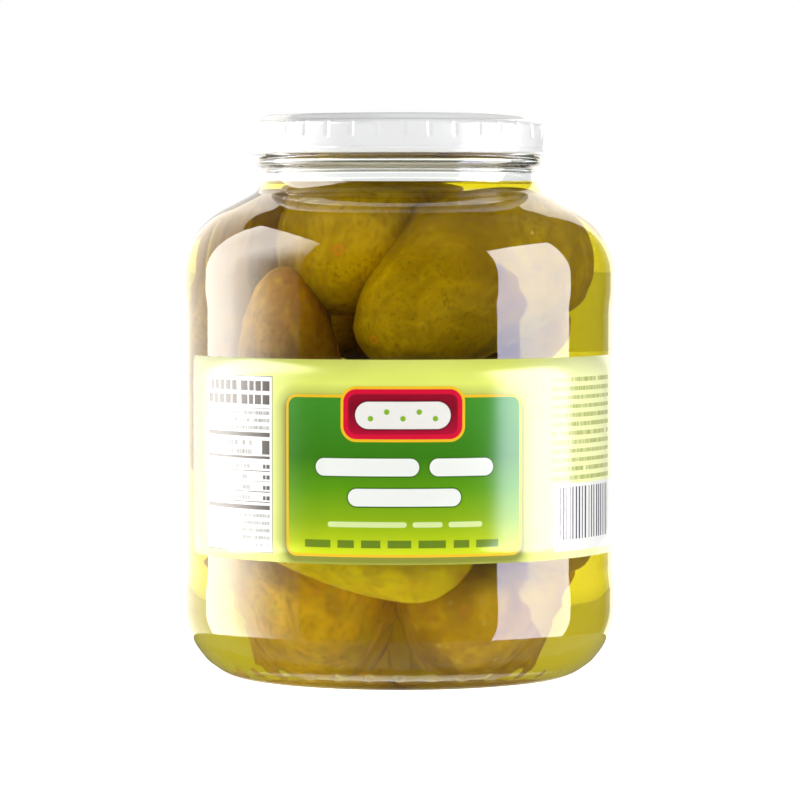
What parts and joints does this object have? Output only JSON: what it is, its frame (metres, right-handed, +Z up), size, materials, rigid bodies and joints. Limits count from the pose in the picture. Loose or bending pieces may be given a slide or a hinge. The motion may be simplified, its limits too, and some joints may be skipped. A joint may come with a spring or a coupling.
{
  "type": "pickle jar",
  "caption": "Wide-mouth clear glass jar of whole pickles in brine, with a round shoulder, a white fluted lug lid and a wrap-around paper label.",
  "frame": {"origin": "middle of the base, in the plane of the standing ring", "axes": "+Z up along the jar's axis, -Y towards the front of the label, +X to the right of someone who looks at the label"},
  "size_m": [0.1228, 0.1228, 0.1583],
  "materials": {
    "glass": "clear",
    "lid": "gloss white enamel on tinplate",
    "label": "gloss paper, pale yellow-green with a printed panel",
    "brine": "clear yellow-green brine, with the pickles in it"
  },
  "bodies": {
    "root": {"jar": "glass", "lid": "lid", "label": "label", "brine": "brine"}
  },
  "joints": []
}
